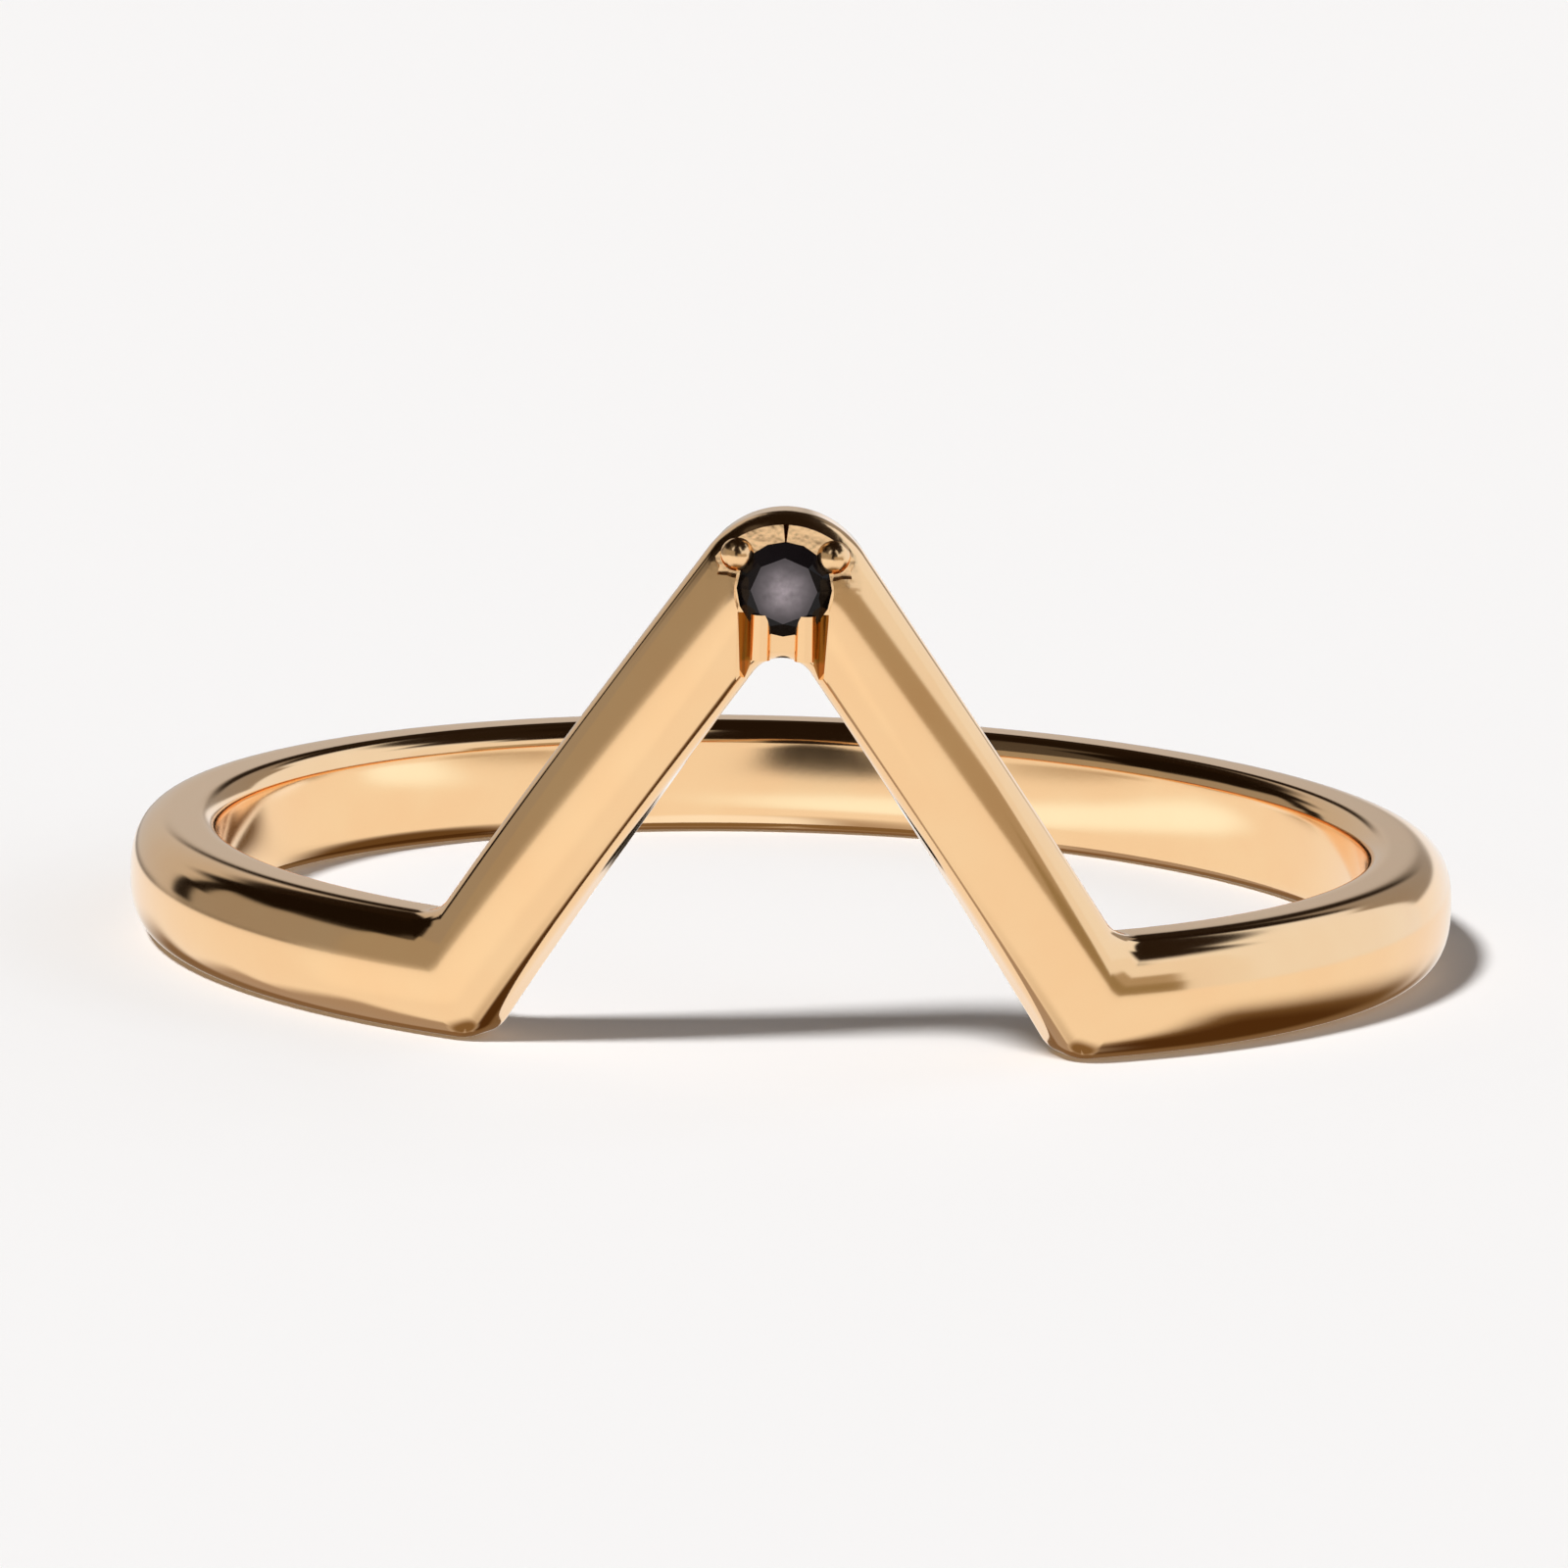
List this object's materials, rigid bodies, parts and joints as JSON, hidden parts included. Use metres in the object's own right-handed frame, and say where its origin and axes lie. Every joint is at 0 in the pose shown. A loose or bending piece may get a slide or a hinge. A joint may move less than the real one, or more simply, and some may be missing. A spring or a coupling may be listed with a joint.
{
  "type": "triangle ring",
  "caption": "Slim domed finger ring whose round band rises at the front into a tall open triangular peak that holds a small round black stone near its tip.",
  "frame": {"origin": "on the finger's axis, half way up the round band", "axes": "+Z along the finger's axis, up when the ring lies on its side, towards the peak's tip; the peak is at the front, -Y; +X to the right"},
  "size_m": [0.0198, 0.0198, 0.008],
  "materials": {
    "polished_gold": "polished",
    "black_stone": "faceted and polished"
  },
  "bodies": {
    "root": {"band": "polished_gold", "stone": "black_stone"}
  },
  "joints": []
}
